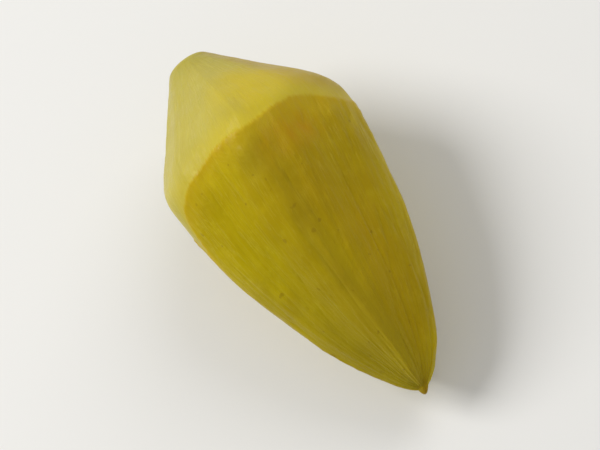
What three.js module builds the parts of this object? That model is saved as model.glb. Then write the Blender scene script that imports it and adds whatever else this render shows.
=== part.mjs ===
// A small pickled okra pod, lying on one of its five faces.
// The pod grew as one piece, so it is one closed solid: a five-ridged body that tapers to a
// blunt tip with the stub of its beak, and a cap pared to a cone down to the cut stem.
// Units are millimetres. +Z is up, the cut stem faces -X and the tip faces +X.

import * as THREE from 'three';

// Body
const POD_LENGTH = 29.0; // cut stem to the end of the beak
const RIDGE_RADIUS = 7.44; // pod axis to a ridge, at the widest place
const WIDEST_FROM_TIP = 20.0; // along the axis
const TAPER_POWER = 1.55; // above 1 the sides stay full and turn in late
const TIP_POWER = 0.61; // 0.5 is a round tip, 1 a pointed one
const SIDE_LEAN = 0.3; // how far the axis runs off towards +Y, from stem to tip
const TIP_HOOK = 0.8; // how far the tip hooks back again
const HOOK_POWER = 14; // higher hooks a shorter stretch of the tip

// Ridges and the faces between them
const RIDGES = 5;
const FACE_DEPTH = 0.1; // a face's middle lies this share of the radius inside the ridges
const RIB_HEIGHT = 0.18; // rib that runs along each ridge
const RIB_NARROWNESS = 18;
const RIDGE_STAGGER = 0.05; // radians by which the ridges are unevenly spaced
const RIDGE_SKEW = 0.02; // the same, twice round the pod
const TOP_RIDGE_ANGLE = THREE.MathUtils.degToRad(90);
const TWIST = THREE.MathUtils.degToRad(28); // turn of the ridges from stem to tip
const TWIST_CENTRE = 0.55; // share of the length where the top ridge is at its own angle

// Beak, the stub of the flower's style at the tip
const BEAK_LENGTH = 0.5; // how far it stands out past the body's own end
const BEAK_ROOT = 0.8; // how far it reaches back into the body
const BEAK_RADIUS = 0.65; // at its root

// Pared cap
const STEM_RADIUS = 1.5;
const CAP_SLOPE = 0.74; // radius gained per millimetre away from the cut stem
const KNIFE_CUTS = 9;
const FIRST_CUT = THREE.MathUtils.degToRad(-12); // where the first cut faces
const CUT_STAGGER = 0.25; // share of a cut's width by which the cuts are unevenly spaced
const STAGGER_STEP = 2.4; // radians from cut to cut in the wave that staggers them
const CUT_UNEVENNESS = 0.035; // share by which a cut lies deeper or shallower
const DEPTH_STEP = 1.7; // radians from cut to cut in the wave that sets their depth
const KNIFE_SHARPNESS = 45; // higher gives crisper edges between the cuts
const SHOULDER_SHARPNESS = 21; // higher gives a crisper edge between cap and skin
const STEM_ROUND = 1.5; // near the stem, over about this length, the cuts fade into a round
const STEM_EDGE = 0.35; // rounding of the cut stem's rim
const STEM_DISH = 0.12; // the pith dries a little below the rim

// Resting pose
const NOSE_DOWN = THREE.MathUtils.degToRad(10); // the body is full at the stem, so the tip dips
const SETTLE = 0.3; // the soft flesh flattens by this much where it rests

// Mesh
const SECTIONS = 50;
const SECTION_CROWDING = 0.85; // sections crowd towards both ends
const POINTS_PER_FACE = 14;
const STEM_RINGS = 2;

const POINTS_AROUND = RIDGES * POINTS_PER_FACE;

/** Radius of the ridges at a distance s from the cut stem. */
function ridgeRadius(s) {
  const fromTip = Math.max(POD_LENGTH - BEAK_LENGTH - s, 0);
  const fromWidest = Math.abs(1 - fromTip / WIDEST_FROM_TIP);
  return RIDGE_RADIUS * Math.max(1 - fromWidest ** TAPER_POWER, 0) ** TIP_POWER;
}

/** Radius of the beak, which closes in a blunt point at the pod's far end. */
function beakRadius(s) {
  const fromEnd = (POD_LENGTH - s) / (BEAK_LENGTH + BEAK_ROOT);
  return BEAK_RADIUS * Math.sqrt(THREE.MathUtils.clamp(fromEnd, 0, 1));
}

/** Radius of the skin. The turn is 0 on the first ridge and runs once round the pod. */
function skinRadius(s, turn) {
  const ridge = ridgeRadius(s);
  const valley = (1 - Math.cos(RIDGES * turn)) / 2;
  const face = ridge * (1 - FACE_DEPTH * valley);
  const rib = RIB_HEIGHT * (ridge / RIDGE_RADIUS) * Math.exp(-RIB_NARROWNESS * valley);
  return Math.cbrt((face + rib) ** 3 + beakRadius(s) ** 3);
}

/** Radius of the knife's cone: flat cuts of slightly unlike depth, blended at their edges. */
function paredRadius(s, angle) {
  const cone = STEM_RADIUS + CAP_SLOPE * s;
  let sum = 0;
  for (let cut = 0; cut < KNIFE_CUTS; cut += 1) {
    const place = (cut + CUT_STAGGER * Math.sin(STAGGER_STEP * cut)) / KNIFE_CUTS;
    const facing = FIRST_CUT + 2 * Math.PI * place;
    const depth = 1 + CUT_UNEVENNESS * Math.sin(DEPTH_STEP * cut);
    sum += Math.max(0, Math.cos(angle - facing) / depth) ** KNIFE_SHARPNESS;
  }
  const cuts = sum ** (-1 / KNIFE_SHARPNESS);
  return cone * THREE.MathUtils.lerp(cuts, 1, Math.exp(-s / STEM_ROUND));
}

/** Angle round the pod axis, from +Y towards +Z. The ridges are unevenly spaced and twist. */
function angleOf(s, turn) {
  const uneven = RIDGE_STAGGER * Math.sin(turn) + RIDGE_SKEW * (Math.cos(2 * turn) - 1);
  return TOP_RIDGE_ANGLE + turn + uneven + TWIST * (s / POD_LENGTH - TWIST_CENTRE);
}

/** Radius of the pod: the skin, or the knife's cone where that is smaller. */
function podRadius(s, turn) {
  const skin = skinRadius(s, turn) ** -SHOULDER_SHARPNESS;
  const cone = paredRadius(s, angleOf(s, turn)) ** -SHOULDER_SHARPNESS;
  const radius = (skin + cone) ** (-1 / SHOULDER_SHARPNESS);
  const rim = Math.max(1 - s / STEM_EDGE, 0);
  return radius - STEM_EDGE * (1 - Math.sqrt(1 - rim ** 2));
}

/** Sideways offset of the pod axis, towards +Y. */
function axisOffset(s) {
  const along = s / POD_LENGTH;
  return SIDE_LEAN * along - TIP_HOOK * along ** HOOK_POWER;
}

/** A point of the surface, at a share of the radius out from the axis. */
function podPoint(s, turn, share = 1) {
  const radius = podRadius(s, turn) * share;
  const angle = angleOf(s, turn);
  const dish = STEM_DISH * (1 - share ** 2);
  return [s + dish, axisOffset(s) + radius * Math.cos(angle), radius * Math.sin(angle)];
}

/** Distances from the cut stem of the mesh's sections, crowded towards both ends. */
function sectionStations() {
  return Array.from({ length: SECTIONS }, (_, i) => {
    const t = i / SECTIONS;
    return POD_LENGTH * (t - (SECTION_CROWDING * Math.sin(2 * Math.PI * t)) / (2 * Math.PI));
  });
}

/** Closed skin over rings of points, with a single point at the stem and one at the tip. */
function buildPodGeometry() {
  const turns = Array.from({ length: POINTS_AROUND }, (_, j) => (2 * Math.PI * j) / POINTS_AROUND);
  const stemShares = Array.from({ length: STEM_RINGS - 1 }, (_, i) => (i + 1) / STEM_RINGS);
  const rings = [
    ...stemShares.map((share) => turns.map((turn) => podPoint(0, turn, share))),
    ...sectionStations().map((s) => turns.map((turn) => podPoint(s, turn))),
  ];

  const positions = [podPoint(0, 0, 0), ...rings.flat(), podPoint(POD_LENGTH, 0, 0)];
  const tip = positions.length - 1;
  const vertex = (ring, j) => 1 + ring * POINTS_AROUND + (j % POINTS_AROUND);
  const last = rings.length - 1;
  const triangles = [];
  for (let j = 0; j < POINTS_AROUND; j += 1) {
    triangles.push(0, vertex(0, j + 1), vertex(0, j));
    for (let ring = 0; ring < last; ring += 1) {
      triangles.push(vertex(ring, j), vertex(ring, j + 1), vertex(ring + 1, j + 1));
      triangles.push(vertex(ring, j), vertex(ring + 1, j + 1), vertex(ring + 1, j));
    }
    triangles.push(tip, vertex(last, j), vertex(last, j + 1));
  }

  const geometry = new THREE.BufferGeometry();
  geometry.setAttribute('position', new THREE.Float32BufferAttribute(positions.flat(), 3));
  geometry.setIndex(triangles);
  return geometry;
}

/** Lays the pod down: nose slightly low, centred over the origin, with a small flat spot at z = 0. */
function layDown(geometry) {
  geometry.rotateY(NOSE_DOWN);
  geometry.computeBoundingBox();
  const { min, max } = geometry.boundingBox;
  geometry.translate(-(min.x + max.x) / 2, -(min.y + max.y) / 2, -min.z - SETTLE);
  const position = geometry.getAttribute('position');
  for (let i = 0; i < position.count; i += 1) {
    position.setZ(i, Math.max(position.getZ(i), 0));
  }
  geometry.computeVertexNormals();
  return geometry;
}

const podSkin = new THREE.MeshStandardMaterial({ color: 0xa08c14, roughness: 0.45, metalness: 0 });

const pod = new THREE.Mesh(layDown(buildPodGeometry()), podSkin);
pod.name = 'okra_pod';

const group = new THREE.Group();
group.add(pod);

export default group;
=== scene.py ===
"""A small pickled okra pod, lying on a pale surface and seen from above.

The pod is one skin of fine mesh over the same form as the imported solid, with the grooves, fibres,
seed swellings, knife marks and cut stem that the solid is too coarse for. Form is worked out in
millimetres in the pod's own coordinates: s runs from the cut stem to the tip, and turn runs once
round the pod from the ridge on top. Colours are linear RGB.
"""

import math

import bpy
import numpy as np
from mathutils import Matrix, Vector, noise


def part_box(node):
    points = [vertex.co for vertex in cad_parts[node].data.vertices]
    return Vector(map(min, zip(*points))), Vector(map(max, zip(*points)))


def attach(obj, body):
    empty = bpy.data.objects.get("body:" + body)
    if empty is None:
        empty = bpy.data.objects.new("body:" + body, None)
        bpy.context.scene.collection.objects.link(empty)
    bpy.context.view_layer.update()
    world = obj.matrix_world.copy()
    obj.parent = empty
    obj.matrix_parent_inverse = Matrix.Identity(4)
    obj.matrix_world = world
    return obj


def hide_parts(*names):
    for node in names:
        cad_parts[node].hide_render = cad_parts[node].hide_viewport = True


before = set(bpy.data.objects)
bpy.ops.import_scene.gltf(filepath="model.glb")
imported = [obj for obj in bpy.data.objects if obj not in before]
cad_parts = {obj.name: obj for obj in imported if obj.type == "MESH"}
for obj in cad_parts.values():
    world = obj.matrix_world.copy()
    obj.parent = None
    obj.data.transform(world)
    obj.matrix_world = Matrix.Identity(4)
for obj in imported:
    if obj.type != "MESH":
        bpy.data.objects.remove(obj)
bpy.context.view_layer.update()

CAD_NODE = "okra_pod"
MM = 0.001
TINY = 1e-9

# ---------------------------------------------------------------- form, as in the solid
POD_LENGTH = 29.0
RIDGE_RADIUS = 7.44
WIDEST_FROM_TIP = 20.0
TAPER_POWER = 1.55
TIP_POWER = 0.61
SIDE_LEAN = 0.3
TIP_HOOK = 0.8
HOOK_POWER = 14

RIDGES = 5
FACE_TURN = 2 * math.pi / RIDGES  # from one ridge to the next
FACE_DEPTH = 0.1
RIB_HEIGHT = 0.18
RIB_NARROWNESS = 18
RIDGE_STAGGER = 0.05
RIDGE_SKEW = 0.02
TOP_RIDGE_ANGLE = math.radians(90)
TWIST = math.radians(28)
TWIST_CENTRE = 0.55

BEAK_LENGTH = 0.5
BEAK_ROOT = 0.8
BEAK_RADIUS = 0.65

STEM_RADIUS = 1.5
CAP_SLOPE = 0.74
KNIFE_CUTS = 9
FIRST_CUT = math.radians(-12)
CUT_STAGGER = 0.25
STAGGER_STEP = 2.4
CUT_UNEVENNESS = 0.035
DEPTH_STEP = 1.7
KNIFE_SHARPNESS = 45
SHOULDER_SHARPNESS = 21
STEM_ROUND = 1.5
STEM_EDGE = 0.35
STEM_DISH = 0.12

NOSE_DOWN = math.radians(10)
SETTLE = 0.3


def ridge_radius(s):
    from_tip = np.maximum(POD_LENGTH - BEAK_LENGTH - s, 0)
    from_widest = np.abs(1 - from_tip / WIDEST_FROM_TIP)
    return RIDGE_RADIUS * np.maximum(1 - from_widest**TAPER_POWER, 0) ** TIP_POWER


def beak_radius(s):
    from_end = (POD_LENGTH - s) / (BEAK_LENGTH + BEAK_ROOT)
    return BEAK_RADIUS * np.sqrt(np.clip(from_end, 0, 1))


def valley_at(turn):
    """0 on the ridges and 1 on the middle line of each face."""
    return (1 - np.cos(RIDGES * turn)) / 2


def skin_radius(s, turn):
    ridge = ridge_radius(s)
    valley = valley_at(turn)
    face = ridge * (1 - FACE_DEPTH * valley)
    rib = RIB_HEIGHT * (ridge / RIDGE_RADIUS) * np.exp(-RIB_NARROWNESS * valley)
    return np.cbrt((face + rib) ** 3 + beak_radius(s) ** 3)


def pared_radius(s, angle):
    cone = STEM_RADIUS + CAP_SLOPE * s
    total = 0
    for cut in range(KNIFE_CUTS):
        place = (cut + CUT_STAGGER * math.sin(STAGGER_STEP * cut)) / KNIFE_CUTS
        facing = FIRST_CUT + 2 * math.pi * place
        depth = 1 + CUT_UNEVENNESS * math.sin(DEPTH_STEP * cut)
        total = total + np.maximum(0, np.cos(angle - facing) / depth) ** KNIFE_SHARPNESS
    cuts = total ** (-1 / KNIFE_SHARPNESS)
    fade = np.exp(-s / STEM_ROUND)
    return cone * (cuts + (1 - cuts) * fade)


def angle_of(s, turn):
    """Direction round the axis, from +Y up over the top: the ridges twist and are spaced unevenly."""
    uneven = RIDGE_STAGGER * np.sin(turn) + RIDGE_SKEW * (np.cos(2 * turn) - 1)
    return TOP_RIDGE_ANGLE + turn + uneven + TWIST * (s / POD_LENGTH - TWIST_CENTRE)


def pod_radius(s, turn):
    with np.errstate(divide="ignore"):  # the skin's radius is 0 at the very tip
        skin = skin_radius(s, turn) ** -SHOULDER_SHARPNESS
    cone = pared_radius(s, angle_of(s, turn)) ** -SHOULDER_SHARPNESS
    radius = (skin + cone) ** (-1 / SHOULDER_SHARPNESS)
    rim = np.maximum(1 - s / STEM_EDGE, 0)
    return radius - STEM_EDGE * (1 - np.sqrt(1 - rim**2))


def axis_offset(s):
    along = s / POD_LENGTH
    return SIDE_LEAN * along - TIP_HOOK * along**HOOK_POWER


def pod_points(s, turn, share):
    """Points of the surface, at a share of the radius out from the axis."""
    radius = pod_radius(s, turn) * share
    angle = angle_of(s, turn)
    along = s + STEM_DISH * (1 - share**2)
    return np.stack([along, axis_offset(s) + radius * np.cos(angle), radius * np.sin(angle)], -1)


# ---------------------------------------------------------------- fine grid over the form
SECTIONS = 238
SECTION_CROWDING = 0.72  # sections crowd towards both ends
POINTS_AROUND = 370
STEM_RINGS = 14


def stations():
    """The grid's s, turn and share of the radius: rings on the cut stem, then the sections."""
    t = np.arange(SECTIONS) / SECTIONS
    along = POD_LENGTH * (t - SECTION_CROWDING * np.sin(2 * math.pi * t) / (2 * math.pi))
    s = np.concatenate([np.zeros(STEM_RINGS - 1), along])
    share = np.concatenate([np.arange(1, STEM_RINGS) / STEM_RINGS, np.ones(SECTIONS)])
    turn = np.arange(POINTS_AROUND) / POINTS_AROUND * 2 * math.pi
    s_grid, turn_grid = np.meshgrid(s, turn, indexing="ij")
    share_grid = np.broadcast_to(share[:, None], s_grid.shape)
    return s_grid, turn_grid, share_grid


def grid_normals(grid):
    """Outward normals of a grid of points that closes on itself round the pod."""
    across = np.roll(grid, -1, 1) - np.roll(grid, 1, 1)
    along = np.gradient(grid, axis=0)
    normal = np.cross(across, along)
    return normal / np.maximum(np.linalg.norm(normal, axis=-1, keepdims=True), TINY)


s, turn, share = stations()
angle = angle_of(s, turn)
base = pod_points(s, turn, share)
normals = grid_normals(base)
skin_r = skin_radius(s, turn)
valley = valley_at(turn)
from_ridge = ((turn + FACE_TURN / 2) % FACE_TURN - FACE_TURN / 2) * skin_r
from_tip = POD_LENGTH - s
on_disc = s <= TINY


# ---------------------------------------------------------------- the resting pose
def rotate_nose_down(grid):
    cos, sin = math.cos(NOSE_DOWN), math.sin(NOSE_DOWN)
    x, y, z = grid[..., 0], grid[..., 1], grid[..., 2]
    return np.stack([x * cos + z * sin, y, -x * sin + z * cos], -1)


def resting_shift():
    """How far to move the turned pod: over the solid's place, with its lowest point pressed flat."""
    turned = rotate_nose_down(base).reshape(-1, 3)
    low, high = turned.min(0), turned.max(0)
    box_low, box_high = (np.array(corner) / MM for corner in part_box(CAD_NODE))
    move = (box_low + box_high) / 2 - (low + high) / 2
    move[2] = -low[2] - SETTLE
    return move


shift = resting_shift()
above_floor = (rotate_nose_down(base) + shift)[..., 2]

# ---------------------------------------------------------------- soft masks and noise
NOISE_GAIN = 1.6  # takes Perlin noise out to about -1 and 1
SEED_STEP = 17.3  # how far apart in the noise two seeds lie


def smoothstep(low, high, value):
    t = np.clip((value - low) / (high - low), 0, 1)
    return t * t * (3 - 2 * t)


def bell(distance, width):
    return np.exp(-((distance / width) ** 2))


def towards(at, facing, spread):
    """1 where the angle is the facing one, falling off to 0 on either side."""
    return np.exp((np.cos(at - facing) - 1) / spread)


def spots(layers):
    """Soft patches, each with its strength, turn in degrees, spread, distance s and length."""
    return sum(
        strength * towards(turn, math.radians(facing), spread) * bell(s - place, length)
        for strength, facing, spread, place, length in layers
    )


def ripple(space, size, seed):
    """Perlin noise from about -1 to 1, with bumps of about that size, over an array of points."""
    flat = (space / size).reshape(-1, 3) + seed * SEED_STEP
    values = np.array([noise.noise(p) for p in flat.tolist()])
    return NOISE_GAIN * values.reshape(space.shape[:-1])


def ripples(space, layers):
    """Sum of noises, each with its height, size and seed."""
    return sum(height * ripple(space, size, seed) for height, size, seed in layers)


def winding_lines(space, size, seed, narrowness):
    """1 along winding lines, falling off to 0 beside them."""
    return np.maximum(1 - narrowness * np.abs(ripple(space, size, seed)), 0) ** 2


# spaces for patterns: lengthwise, and slanting from each ridge towards the tip
VEIN_SLANT = 0.9
lengthwise = np.stack([RIDGE_RADIUS * np.cos(turn), RIDGE_RADIUS * np.sin(turn), s], -1)
slanting = lengthwise + np.stack([0 * s, 0 * s, VEIN_SLANT * np.abs(from_ridge)], -1)

# ---------------------------------------------------------------- where the knife left the skin
CUT_PLACE = 8.0  # from the cut stem
SLIP = 1.6  # how much further the knife ran on one side of the pod
SLIP_ANGLE = math.radians(5)
SLIP_SPREAD = 0.10
FAR_SLIP = 3.2  # and on the far side
FAR_SLIP_TURN = math.radians(90)
FAR_SLIP_SPREAD = 0.12
TONGUE = 0.3  # how much further it ran along each ridge
TONGUE_WIDTH = 1.3
LONG_TONGUE = 2.5  # and along the ridge that it left last
LONG_TONGUE_TURN = FACE_TURN
LONG_TONGUE_WIDTH = 0.45
LONG_TONGUE_POWER = 4  # higher keeps the long tongue more to its own ridge
CUT_WANDER = ((0.18, 2.6, 1), (0.05, 0.6, 2))
CUT_SOFTNESS = 0.12
OFF_DISC = 2  # value of stem_ring off the cut stem


def cut_place():
    """How far from the stem the pared flesh meets the skin, at each point's turn round the pod."""
    slip = SLIP * towards(angle, SLIP_ANGLE, SLIP_SPREAD)
    slip += FAR_SLIP * towards(turn, FAR_SLIP_TURN, FAR_SLIP_SPREAD)
    last_ridge = np.maximum(np.cos(turn - LONG_TONGUE_TURN), 0) ** LONG_TONGUE_POWER
    tongues = TONGUE * bell(from_ridge, TONGUE_WIDTH)
    tongues += LONG_TONGUE * last_ridge * bell(from_ridge, LONG_TONGUE_WIDTH)
    return CUT_PLACE + slip + tongues + ripples(base, CUT_WANDER)


from_cut = s - cut_place()
cap = smoothstep(CUT_SOFTNESS, -CUT_SOFTNESS, from_cut)
skin = 1 - cap
stem_ring = share * np.where(on_disc, 1, OFF_DISC)  # 0 at the pith and 1 at the rim

# ---------------------------------------------------------------- patches of colour, and of painted light and shade
BROWN_ANGLE = math.radians(62)  # one face is browner
BROWN_SPREAD = 0.3
BROWN_LEVEL = 0.80
BROWN_RIPPLE = (0.25, 4.0, 21)
BROWN_START = (1.0, 5.5)  # distances s over which it sets in
BRIGHT_SPOT = (1.0, 47, 0.16, 15.0, 4.5)  # and the next one has painted light, a brighter patch on its middle
DULL_ANGLE = math.radians(150)  # one side is duller towards the tip, partly its own colour and partly painted shade
DULL_SIDE = (-0.2, 0.6)  # cosines of the angle from its middle over which it sets in
DULL_START = (17.0, 2.0)  # distances from the tip over which it sets in
DULL_ON_RIDGE = 0.25  # share by which the top ridge is less dull: painted light along it
DULL_RIDGE_SPREAD = 0.07
# spots of painted shade
DULL_SPOTS = ((0.9, 8, 0.012, 10.4, 1.2), (0.7, 8, 0.012, 6.7, 1.0))
GOLDEN_TURN = math.radians(-17)  # a golden streak of painted light runs to the tip
GOLDEN_SPREAD = 0.07
GOLDEN_START = (14.0, 5.0)  # distances from the tip over which it sets in
# and spots of golden painted light
GOLDEN_SPOTS = ((1.2, -38, 0.05, 9.0, 1.6), (1.0, 63, 0.05, 8.3, 2.0))


def brown_face():
    uneven = BROWN_LEVEL + ripples(base, [BROWN_RIPPLE])
    return towards(angle, BROWN_ANGLE, BROWN_SPREAD) * uneven * smoothstep(*BROWN_START, s)


def dull_side():
    side = smoothstep(*DULL_SIDE, np.cos(angle - DULL_ANGLE))
    ridge = 1 - DULL_ON_RIDGE * towards(turn, 0, DULL_RIDGE_SPREAD)
    return smoothstep(*DULL_START, from_tip) * side * ridge + spots(DULL_SPOTS)


def golden_streak():
    streak = towards(turn, GOLDEN_TURN, GOLDEN_SPREAD) * smoothstep(*GOLDEN_START, from_tip)
    return streak + spots(GOLDEN_SPOTS)


# a dark line of painted shade beside the top ridge, where the skin is also creased a little, with a
# wider and fainter painted shade along one side of it
CREASE_TURN = math.radians(1)
CREASE_WIDTH = 0.85
CREASE_SHADE = 0.32
CREASE_SHADE_PLACE = 1.6
CREASE_SHADE_WIDTH = 1.5
CREASE_START = (7.0, 9.5)  # distances s over which it sets in
CREASE_END = (25.0, 19.0)
CREASE_LEVEL = 0.85
CREASE_RIPPLE = (0.3, 1.0, 27)
CREASE_STRETCH = (1, 1, 0.4)

# painted shadow darkens the pared flesh on one side
BRUISE_ANGLE = math.radians(8)
BRUISE_SIDE = (0.72, 0.98)  # cosines of the angle from its middle over which it sets in

# a faint brown stain along the cut, and a strong one below it beside the top ridge
EDGE_STAIN = 0.35
EDGE_STAIN_REACH = (0.8, -0.5)  # distances from the cut over which it sets in
EDGE_STAIN_RIPPLE = (0.5, 1.2, 25)
STAIN_TURN = math.radians(-20)
STAIN_SPREAD = 0.05
STAIN_PLACE = 2.3  # from the cut
STAIN_LENGTH = 1.2
STAIN_LEVEL = 0.7
STAIN_RIPPLE = (0.4, 0.8, 26)


def dark_crease():
    across = (np.remainder(turn - CREASE_TURN + math.pi, 2 * math.pi) - math.pi) * skin_r
    dark = bell(across, CREASE_WIDTH)
    dark += CREASE_SHADE * bell(across - CREASE_SHADE_PLACE, CREASE_SHADE_WIDTH)
    dark *= smoothstep(*CREASE_START, s) * smoothstep(*CREASE_END, s)
    return dark * (CREASE_LEVEL + ripples(lengthwise * CREASE_STRETCH, [CREASE_RIPPLE]))


def brown_stain():
    ragged_cut = from_cut + ripples(base, [EDGE_STAIN_RIPPLE])
    along_cut = EDGE_STAIN * smoothstep(*EDGE_STAIN_REACH, ragged_cut)
    below_cut = towards(turn, STAIN_TURN, STAIN_SPREAD) * bell(from_cut - STAIN_PLACE, STAIN_LENGTH)
    return (along_cut + below_cut) * (STAIN_LEVEL + ripples(base, [STAIN_RIPPLE]))


crease = dark_crease()

# ---------------------------------------------------------------- relief, in millimetres
SEED_PITCH = 2.7  # from seed to seed along a row
SEED_WIDTH = 1.0
SEED_ROW = 0.42  # from a face's middle line, as a share of half the face
SEED_STAGGER = 0.25  # share of the pitch by which each row is shifted, one way or the other
SEED_PLACE = 11.5  # distance s of one pair of seeds
SEED_WANDER = (0.9, 6.0, 11)
SEEDS_START = (9.5, 12.0)
SEEDS_END = (5.0, 8.0)  # from the tip


def seed_lumps():
    """Two staggered rows of seeds under each face swell the skin a little."""
    side = turn % FACE_TURN - FACE_TURN / 2
    from_row = (np.abs(side) - SEED_ROW * FACE_TURN / 2) * skin_r
    phase = (s - SEED_PLACE + ripples(base, [SEED_WANDER])) / SEED_PITCH + SEED_STAGGER * np.sign(side)
    along_row = (phase - np.round(phase)) * SEED_PITCH
    reach = smoothstep(*SEEDS_START, s) * smoothstep(*SEEDS_END, from_tip)
    return bell(np.hypot(from_row, along_row), SEED_WIDTH) * reach


SEED_SWELL = 0.05
FACE_SAG = 0.10
SAG_STRETCH = (0.5, 1, 1)
SAG_SIZE = 5.0
SAG_SEED = 15
FIBRES = ((0.030, 0.60, 5), (0.014, 0.26, 6))
FIBRE_STRETCH = (1, 1, 0.14)
WRINKLE_DEPTH = 0.050
WRINKLE_SIZE = 1.3
WRINKLE_SEED = 16
WRINKLE_NARROWNESS = 4
VEIN_HEIGHT = 0.010
VEIN_STRETCH = (0.45, 0.45, 1)
VEIN_SIZE = 0.9
VEIN_SEED = 17
VEIN_NARROWNESS = 3.5
VEIN_START = (0.3, 1.2)  # from a ridge
GRAIN = (0.006, 0.35, 7)


def face_relief(seeds):
    """Seeds and soft dents in the faces, lengthwise fibres and wrinkles, side veins and grain."""
    dents = 1 + ripple(base * SAG_STRETCH, SAG_SIZE, SAG_SEED)
    fibre_space = lengthwise * FIBRE_STRETCH
    wrinkles = winding_lines(fibre_space, WRINKLE_SIZE, WRINKLE_SEED, WRINKLE_NARROWNESS)
    veins = winding_lines(slanting * VEIN_STRETCH, VEIN_SIZE, VEIN_SEED, VEIN_NARROWNESS)
    height = SEED_SWELL * seeds - FACE_SAG * valley * dents
    height += ripples(fibre_space, FIBRES) - WRINKLE_DEPTH * wrinkles
    height += VEIN_HEIGHT * veins * smoothstep(*VEIN_START, np.abs(from_ridge))
    return height + ripples(base, [GRAIN])


LINE_WANDER = (0.06, 2.5, 18)
BEAD_HEIGHT = 0.035
BEAD_WIDTH = 0.2
BEAD_SIZE = 0.5
BEAD_SEED = 19
BEAD_GAP = 0.1  # higher leaves fewer beads
GROOVES = ((0.022, 0.42, 0.2), (0.014, -0.5, 0.25))  # depth, distance from the ridge's line, width
RIB_END = (0.5, 2.5)  # from the tip


def rib_relief():
    """Grooves on both sides of each ridge's own line, with the beads that hairs grew from."""
    line = from_ridge - ripples(lengthwise, [LINE_WANDER])
    beads = bell(line, BEAD_WIDTH) * np.maximum(ripple(lengthwise, BEAD_SIZE, BEAD_SEED) - BEAD_GAP, 0)
    grooves = sum(depth * bell(line - place, width) for depth, place, width in GROOVES)
    return smoothstep(*RIB_END, from_tip) * (BEAD_HEIGHT * beads - grooves)


PUCKER_HEIGHT = 0.010
PUCKER_STRETCH = (0.35, 0.35, 1)
PUCKER_SIZE = 0.45
PUCKER_SEED = 20
CUT_PUCKERS = (0.5, 1.4)  # distance from the cut, and reach
TIP_PUCKERS = (1.0, 2.2)  # distance from the tip, and reach
TIP_PUCKER_GAIN = 1.4
CREASE_DEPTH = 0.06
LIP_HEIGHT = 0.05
LIP_WIDTH = 0.4


def edge_relief():
    """The skin puckers where it was pared and where it shrank at the tip, and has a lip at the cut."""
    at_cut, cut_reach = CUT_PUCKERS
    at_tip, tip_reach = TIP_PUCKERS
    strength = bell(from_cut - at_cut, cut_reach) + TIP_PUCKER_GAIN * bell(from_tip - at_tip, tip_reach)
    puckers = ripple(lengthwise * PUCKER_STRETCH, PUCKER_SIZE, PUCKER_SEED) * strength
    return PUCKER_HEIGHT * puckers - CREASE_DEPTH * crease + LIP_HEIGHT * bell(from_cut, LIP_WIDTH)


CAP_DEPTH = 0.05  # how far the pared flesh lies below the form
KNIFE_MARKS = (0.012, 0.26, 8)
KNIFE_STRETCH = (0.12, 1, 1)
FLESH_LUMPS = (0.010, 0.7, 22)
FLESH_STRETCH = (0.3, 1, 1)
SOFT_DENTS = ((0.10, 5.5, 4), (0.030, 1.9, 14))
TIP_HOLD = (0.0, 0.8)  # distances from the tip, the stem and the floor over which relief sets in
STEM_HOLD = (0.0, 0.4)
FLOOR_HOLD = (-SETTLE, 1.6)


def cap_relief():
    """The knife's marks on the pared flesh."""
    marks = ripples(base * KNIFE_STRETCH, [KNIFE_MARKS])
    return marks + ripples(base * FLESH_STRETCH, [FLESH_LUMPS]) - CAP_DEPTH


def relief(seeds):
    """Height of all the fine forms above the plain surface."""
    skin_relief = face_relief(seeds) + rib_relief() + edge_relief()
    height = ripples(base, SOFT_DENTS) + skin * skin_relief + cap * cap_relief()
    held = smoothstep(*TIP_HOLD, from_tip) * np.where(on_disc, 0, smoothstep(*STEM_HOLD, s))
    return height * held * smoothstep(*FLOOR_HOLD, above_floor)


VESSEL_RING = 0.85  # radius
VESSEL_WIDTH = 0.17
VESSEL_HEIGHT = 0.05
VESSEL_WANDER = (0.08, 0.9, 24)
VESSEL_BEADS = (0.7, 0.22, 12)
PITH_DEPTH = 0.10
PITH_RADIUS = 0.45
STEM_MARKS = (0.02, 0.35, 13)
STEM_RIM = (1.0, 0.85)  # shares of the radius over which the stem's relief sets in


def stem_relief():
    """The cut stem: a ring of vessels stands proud, the pith sinks, and the knife left it uneven."""
    radius = share * STEM_RADIUS
    disc = np.stack([radius * np.cos(turn), radius * np.sin(turn), 0 * s], -1)
    from_ring = radius - VESSEL_RING - ripples(disc, [VESSEL_WANDER])
    vessels = bell(from_ring, VESSEL_WIDTH) * (1 + ripples(disc, [VESSEL_BEADS]))
    height = VESSEL_HEIGHT * vessels - PITH_DEPTH * bell(radius, PITH_RADIUS)
    height += ripples(disc, [STEM_MARKS])
    height = np.where(on_disc, height * smoothstep(*STEM_RIM, share), 0)
    return np.stack([-height, 0 * height, 0 * height], -1)


seeds = seed_lumps()
points = rotate_nose_down(base + normals * relief(seeds)[..., None] + stem_relief()) + shift
points[..., 2] = np.maximum(points[..., 2], 0)

# ---------------------------------------------------------------- mesh
# maps for the material, each with its value at the stem's centre, on the grid and at the tip
NUMBERS = {
    "from_cut": (-CUT_PLACE, from_cut, POD_LENGTH - CUT_PLACE),
    "from_ridge": (0, np.abs(from_ridge), 0),
    "from_tip": (POD_LENGTH, from_tip, 0),
    "stem_ring": (0, stem_ring, OFF_DISC),
    "seeds": (0, seeds, 0),
    "brown": (0, brown_face(), 0),
    "bright": (0, spots([BRIGHT_SPOT]), 0),
    "dull": (0, dull_side(), 0),
    "golden": (0, golden_streak(), 0),
    "crease": (0, crease, 0),
    "bruise": (0, smoothstep(*BRUISE_SIDE, np.cos(angle - BRUISE_ANGLE)), 0),
    "stain": (0, brown_stain(), 0),
}
SPACES = {"lengthwise": lengthwise, "slanting": slanting}


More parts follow.
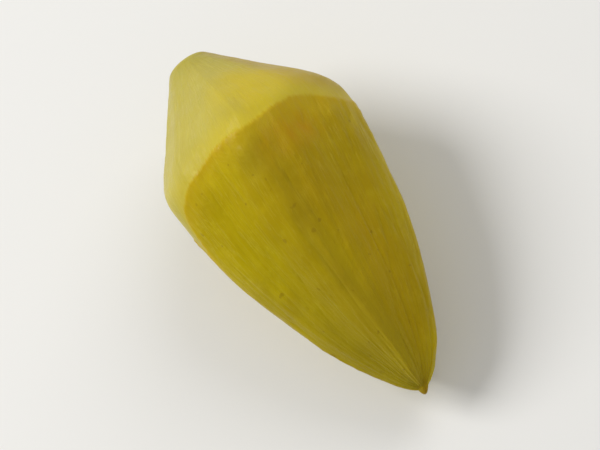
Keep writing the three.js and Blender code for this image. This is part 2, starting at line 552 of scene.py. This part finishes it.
def build_mesh():
    """A closed skin over the grid, with a single point at the stem's centre and one at the tip."""
    rings = points.shape[0]
    ends = pod_points(np.array([0, POD_LENGTH]), np.zeros(2), np.array([0, 1]))
    stem_point, tip_point = rotate_nose_down(ends) + shift
    vertices = np.vstack([stem_point, points.reshape(-1, 3), tip_point]) * MM
    tip = len(vertices) - 1
    ids = 1 + np.arange(rings * POINTS_AROUND).reshape(rings, POINTS_AROUND)
    after = np.roll(ids, -1, 1)
    faces = np.stack([ids[:-1], after[:-1], after[1:], ids[1:]], -1).reshape(-1, 4).tolist()
    faces += [[0, b, a] for a, b in zip(ids[0].tolist(), after[0].tolist())]
    faces += [[tip, a, b] for a, b in zip(ids[-1].tolist(), after[-1].tolist())]
    mesh = bpy.data.meshes.new("okra_pod_skin")
    mesh.from_pydata(vertices.tolist(), [], faces)
    mesh.validate()
    mesh.shade_smooth()

    for name, (at_stem, values, at_tip) in NUMBERS.items():
        layer = mesh.attributes.new(name, "FLOAT", "POINT")
        layer.data.foreach_set("value", np.concatenate([[at_stem], values.ravel(), [at_tip]]))
    for name, values in SPACES.items():
        layer = mesh.attributes.new(name, "FLOAT_VECTOR", "POINT")
        flat = np.vstack([[0, 0, 0], values.reshape(-1, 3), [0, 0, POD_LENGTH]])
        layer.data.foreach_set("vector", flat.ravel())
    return mesh


pod = bpy.data.objects.new("okra_pod_skin", build_mesh())
bpy.context.scene.collection.objects.link(pod)

# ---------------------------------------------------------------- nodes
NOISE_MIDDLE = 0.5
MIX_COLOURS = (6, 7)  # a Mix node's colour inputs go by number, because their names repeat
MIX_RESULT = 2  # and so does its colour output


class Nodes:
    """Short calls for building a material's nodes."""

    def __init__(self, name):
        self.material = bpy.data.materials.new(name)
        self.material.use_nodes = True
        self.tree = self.material.node_tree
        self.shader = self.tree.nodes["Principled BSDF"]

    def put(self, socket, value):
        if isinstance(value, bpy.types.NodeSocket):
            self.tree.links.new(value, socket)
        else:
            socket.default_value = value

    def attribute(self, name, output="Fac"):
        node = self.tree.nodes.new("ShaderNodeAttribute")
        node.attribute_name = name
        return node.outputs[output]

    def noise(self, vector, scale, detail, roughness=0.55, distortion=0.0):
        node = self.tree.nodes.new("ShaderNodeTexNoise")
        self.put(node.inputs["Vector"], vector)
        self.put(node.inputs["Scale"], scale)
        self.put(node.inputs["Detail"], detail)
        self.put(node.inputs["Roughness"], roughness)
        self.put(node.inputs["Distortion"], distortion)
        return node.outputs["Fac"]

    def cell_edges(self, vector):
        """Distance to the nearest edge of a net of irregular cells."""
        node = self.tree.nodes.new("ShaderNodeTexVoronoi")
        node.feature = "DISTANCE_TO_EDGE"
        self.put(node.inputs["Vector"], vector)
        self.put(node.inputs["Scale"], 1.0)
        return node.outputs["Distance"]

    def contour(self, value, width):
        """1 along the line where a noise crosses its middle, 0 further off than the width."""
        from_line = self.math("ABSOLUTE", self.math("SUBTRACT", value, NOISE_MIDDLE))
        return self.ramp(from_line, width, 0.0)

    def stretch(self, vector, scale):
        node = self.tree.nodes.new("ShaderNodeMapping")
        self.put(node.inputs["Vector"], vector)
        self.put(node.inputs["Scale"], scale)
        return node.outputs["Vector"]

    def ramp(self, value, low, high, at_low=0.0, at_high=1.0):
        node = self.tree.nodes.new("ShaderNodeMapRange")
        node.interpolation_type = "SMOOTHSTEP"
        self.put(node.inputs["Value"], value)
        self.put(node.inputs["From Min"], low)
        self.put(node.inputs["From Max"], high)
        self.put(node.inputs["To Min"], at_low)
        self.put(node.inputs["To Max"], at_high)
        return node.outputs["Result"]

    def bump(self, height, strength, distance):
        node = self.tree.nodes.new("ShaderNodeBump")
        self.put(node.inputs["Height"], height)
        self.put(node.inputs["Strength"], strength)
        self.put(node.inputs["Distance"], distance)
        self.put(self.shader.inputs["Normal"], node.outputs["Normal"])

    def math(self, operation, a, b=0.0):
        node = self.tree.nodes.new("ShaderNodeMath")
        node.operation = operation
        self.put(node.inputs[0], a)
        self.put(node.inputs[1], b)
        return node.outputs[0]

    def mix(self, factor, a, b):
        node = self.tree.nodes.new("ShaderNodeMix")
        node.data_type = "RGBA"
        self.put(node.inputs["Factor"], factor)
        for place, value in zip(MIX_COLOURS, (a, b)):
            self.put(node.inputs[place], value)
        return node.outputs[MIX_RESULT]


def colour(r, g, b):
    return (r, g, b, 1.0)


# ---------------------------------------------------------------- tints
# Each layer is mixed over those before it: its share, the map that places it, the two values
# between which that map rises from nothing to full (None: it is used as it is), and its colour.
SKIN_BASE = (0.400, 0.294, 0.001)
SKIN_LAYERS = (
    # olive yellow in patches and blotches, with fibres, mottling, pale threads and side veins
    (1.00, "patches", (0.34, 0.66), (0.500, 0.389, 0.001)),
    (0.30, "blotches", (0.47, 0.30), (0.290, 0.215, 0.002)),
    (0.25, "blotches", (0.55, 0.72), (0.590, 0.465, 0.004)),
    (0.48, "fibres", (0.46, 0.25), (0.260, 0.185, 0.003)),
    (0.35, "mottle", (0.52, 0.72), (0.590, 0.470, 0.020)),
    (0.34, "threads", None, (0.640, 0.530, 0.060)),
    (0.09, "veins", None, (0.620, 0.510, 0.050)),
    # darker over the seeds and browner in places, with painted light on one face and in a golden streak
    # and spots, painted shade where it is duller, and paler on the ridges
    (0.22, "seeds", None, (0.300, 0.200, 0.006)),
    (0.65, "brown", None, (0.425, 0.268, 0.004)),
    (0.22, "bright", None, (0.600, 0.520, 0.002)),
    (0.32, "golden", None, (0.640, 0.430, 0.008)),
    (0.70, "dull", None, (0.290, 0.220, 0.006)),
    (0.10, "from_ridge", (1.2, 0.1), (0.560, 0.450, 0.040)),
    # the crease's painted shade, and specks
    (0.50, "crease", None, (0.235, 0.160, 0.003)),
    (0.40, "specks", (0.72, 0.77), (0.200, 0.115, 0.006)),
    # golden where it was pared, with an uneven brown stain along the cut
    (0.60, "from_cut", (2.2, 0.0), (0.530, 0.375, 0.012)),
    (0.92, "stain", None, (0.500, 0.270, 0.003)),
    # the dried beak and the tip round it
    (0.60, "ragged_tip", (1.4, 0.6), (0.280, 0.155, 0.008)),
)

CAP_BASE = (0.430, 0.360, 0.060)
CAP_LAYERS = (
    # pale pared flesh in patches, with strands, mottling and threads
    (1.00, "patches", (0.30, 0.70), (0.496, 0.421, 0.082)),
    (0.40, "fibres", (0.55, 0.75), (0.660, 0.580, 0.140)),
    (0.30, "mottle", (0.45, 0.25), (0.390, 0.310, 0.025)),
    (0.25, "threads", None, (0.700, 0.630, 0.180)),
    # browner in places, with painted shadow on one side, painted shade where it is duller and golden
    # painted light in spots, duller by the stem and yellower at the cut
    (0.80, "brown", (0.20, 0.70), (0.580, 0.440, 0.016)),
    (0.55, "bruise", None, (0.400, 0.235, 0.008)),
    (0.60, "dull", None, (0.390, 0.310, 0.025)),
    (0.30, "golden", None, (0.660, 0.560, 0.110)),
    (0.30, "from_tip", (26.0, 28.5), (0.325, 0.278, 0.040)),
    (0.60, "from_cut", (-1.8, 0.0), (0.570, 0.455, 0.025)),
    # the cut stem's bark, pale ring, darker middle and pith, from the rim inwards
    (0.70, "stem_ring", (1.12, 0.98), (0.360, 0.250, 0.030)),
    (0.80, "stem_ring", (0.94, 0.82), (0.560, 0.470, 0.100)),
    (0.75, "stem_ring", (0.72, 0.55), (0.330, 0.250, 0.030)),
    (0.60, "stem_ring", (0.34, 0.10), (0.420, 0.340, 0.060)),
)


def layered_tint(n, maps, start, layers):
    tint = colour(*start)
    for amount, name, rise, target in layers:
        mask = maps[name] if rise is None else n.ramp(maps[name], *rise)
        tint = n.mix(n.math("MULTIPLY", mask, amount), tint, colour(*target))
    return tint


# ---------------------------------------------------------------- the pod's material
SURFACE = {
    "IOR": 1.35,
    "Specular IOR Level": 0.25,
    "Specular Tint": colour(1.0, 0.88, 0.25),
    "Coat Weight": 0.11,
    "Coat Roughness": 0.12,
    "Coat IOR": 1.33,
    "Subsurface Weight": 0.4,
    "Subsurface Radius": (1.0, 0.75, 0.2),
    "Subsurface Scale": 0.9 * MM,
}
FRAY = 0.9  # width of the band in which the skin's edge is frayed along its fibres, in millimetres
SKIN_EDGE = (-0.16, 0.20)  # distances from the cut over which flesh gives way to skin
GLOSS_RISE = (0.3, 0.7)  # values of a noise over which the roughness rises
ROUGHNESS = (0.32, 0.48)
THREAD_WIDTH = 0.022
VEIN_LINE = (0.12, 0.0)  # distances from a cell's edge over which a vein sets in
VEIN_PATCHES = (0.35, 0.6)
PORE_BUMP = 0.7
THREAD_BUMP = 0.3
VEIN_BUMP = 0.2
BUMP_STRENGTH = 0.6
BUMP_HEIGHT = 0.06 * MM


def pattern_maps(n):
    """The maps that place the tints: the mesh's own, and noises in metres or lengthwise."""
    maps = {name: n.attribute(name) for name in NUMBERS}
    metres = n.tree.nodes.new("ShaderNodeTexCoord").outputs["Object"]
    along, slanted = (n.attribute(name, "Vector") for name in SPACES)
    blotch_space = n.stretch(along, (0.55, 0.55, 0.32))
    fibre_space = n.stretch(along, (5.0, 5.0, 0.35))
    thread_space = n.stretch(along, (2.6, 2.6, 0.16))
    vein_space = n.stretch(slanted, (0.8, 0.8, 2.2))
    maps["patches"] = n.noise(metres, scale=130, detail=3)
    maps["blotches"] = n.noise(blotch_space, scale=1, detail=3, roughness=0.6, distortion=0.4)
    maps["mottle"] = n.noise(metres, scale=900, detail=5, roughness=0.65)
    maps["specks"] = n.noise(metres, scale=1500, detail=1)
    maps["gloss"] = n.noise(metres, scale=500, detail=3)
    maps["pores"] = n.noise(metres, scale=3800, detail=3)
    maps["fibres"] = n.noise(fibre_space, scale=1, detail=5, roughness=0.65, distortion=0.2)
    threads = n.noise(thread_space, scale=1, detail=3, roughness=0.6, distortion=0.3)
    maps["threads"] = n.contour(threads, THREAD_WIDTH)
    net = n.ramp(n.cell_edges(vein_space), *VEIN_LINE)
    maps["veins"] = n.math("MULTIPLY", net, n.ramp(maps["patches"], *VEIN_PATCHES))
    maps["ragged_tip"] = n.math("ADD", maps["from_tip"], maps["mottle"])
    return maps


def pod_material():
    n = Nodes("pickled okra skin")
    maps = pattern_maps(n)
    fray = n.math("MULTIPLY", n.math("SUBTRACT", maps["fibres"], NOISE_MIDDLE), FRAY)
    on_skin = n.ramp(n.math("ADD", maps["from_cut"], fray), *SKIN_EDGE)
    cap_tint = layered_tint(n, maps, CAP_BASE, CAP_LAYERS)
    skin_tint = layered_tint(n, maps, SKIN_BASE, SKIN_LAYERS)
    n.put(n.shader.inputs["Base Color"], n.mix(on_skin, cap_tint, skin_tint))
    n.put(n.shader.inputs["Roughness"], n.ramp(maps["gloss"], *GLOSS_RISE, *ROUGHNESS))
    for name, value in SURFACE.items():
        n.put(n.shader.inputs[name], value)

    height = n.math("ADD", maps["fibres"], n.math("MULTIPLY", maps["threads"], THREAD_BUMP))
    skin_veins = n.math("MULTIPLY", maps["veins"], on_skin)
    height = n.math("ADD", height, n.math("MULTIPLY", skin_veins, VEIN_BUMP))
    height = n.math("ADD", n.math("MULTIPLY", maps["pores"], PORE_BUMP), height)
    n.bump(height, BUMP_STRENGTH, BUMP_HEIGHT)
    return n.material


pod.data.materials.append(pod_material())
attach(pod, "root")
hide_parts(CAD_NODE)

# ---------------------------------------------------------------- floor, light and camera
FLOOR_HALF = 1.5  # metres, as are the places and sizes of the lights
FLOOR_COLOUR = (0.78, 0.77, 0.74)
FLOOR_ROUGHNESS = 0.6
WORLD_STRENGTH = 0.36

LOOK_AT = Vector((0.4, -0.75, 7.0)) * MM
LEAN = math.radians(15)  # how far the pod pictured leans towards the camera
CAMERA_TILT = LEAN + NOSE_DOWN  # from straight down, towards the tip
CAMERA_DISTANCE = 228 * MM
CAMERA_NEAREST = 10 * MM
LENS = 200
SENSOR_WIDTH = 36
AXIS_ON_PHOTO = Vector((0.602, -0.799))  # direction from stem to tip: share right, share up

# name, place to the right of the pod, above it and towards the camera, size and power
LIGHTS = (
    ("key", (-0.42, 0.12, 0.22), 0.26, 1.8),
    ("top", (0.10, 0.45, 0.25), 0.40, 0.9),
)


def floor_material():
    n = Nodes("pale floor")
    n.put(n.shader.inputs["Base Color"], colour(*FLOOR_COLOUR))
    n.put(n.shader.inputs["Roughness"], FLOOR_ROUGHNESS)
    return n.material


def add_floor():
    mesh = bpy.data.meshes.new("floor")
    corners = [(x * FLOOR_HALF, y * FLOOR_HALF, 0) for x, y in ((-1, -1), (1, -1), (1, 1), (-1, 1))]
    mesh.from_pydata(corners, [], [(0, 1, 2, 3)])
    mesh.materials.append(floor_material())
    floor = bpy.data.objects.new("floor", mesh)
    bpy.context.scene.collection.objects.link(floor)


def view_axes():
    """The camera's right, up and backward directions, so that the pod lies as pictured."""
    back = Vector((math.sin(CAMERA_TILT), 0, math.cos(CAMERA_TILT)))
    along = Vector((math.cos(CAMERA_TILT), 0, -math.sin(CAMERA_TILT)))
    side = Vector((0, 1, 0))
    right = AXIS_ON_PHOTO.x * along - AXIS_ON_PHOTO.y * side
    up = AXIS_ON_PHOTO.y * along + AXIS_ON_PHOTO.x * side
    return right, up, back


def add_camera():
    right, up, back = view_axes()
    data = bpy.data.cameras.new("camera")
    data.lens = LENS
    data.sensor_width = SENSOR_WIDTH
    data.clip_start = CAMERA_NEAREST
    camera = bpy.data.objects.new("camera", data)
    turned = Matrix((right, up, back)).transposed().to_4x4()
    camera.matrix_world = Matrix.Translation(LOOK_AT + back * CAMERA_DISTANCE) @ turned
    bpy.context.scene.collection.objects.link(camera)
    bpy.context.scene.camera = camera


def add_area_light(name, place, size, power):
    """A soft round light that faces the pod."""
    data = bpy.data.lights.new(name, "AREA")
    data.shape = "DISK"
    data.size = size
    data.energy = power
    light = bpy.data.objects.new(name, data)
    at = sum((axis * part for axis, part in zip(view_axes(), place)), Vector())
    light.location = LOOK_AT + at
    light.rotation_mode = "QUATERNION"
    light.rotation_quaternion = at.to_track_quat("Z", "Y")
    bpy.context.scene.collection.objects.link(light)


def add_world():
    world = bpy.data.worlds.new("soft studio")
    world.use_nodes = True
    background = world.node_tree.nodes["Background"]
    background.inputs["Color"].default_value = colour(1.0, 1.0, 1.0)
    background.inputs["Strength"].default_value = WORLD_STRENGTH
    bpy.context.scene.world = world


add_floor()
add_camera()
add_world()
for light in LIGHTS:
    add_area_light(*light)
bpy.context.scene.view_settings.view_transform = "Standard"
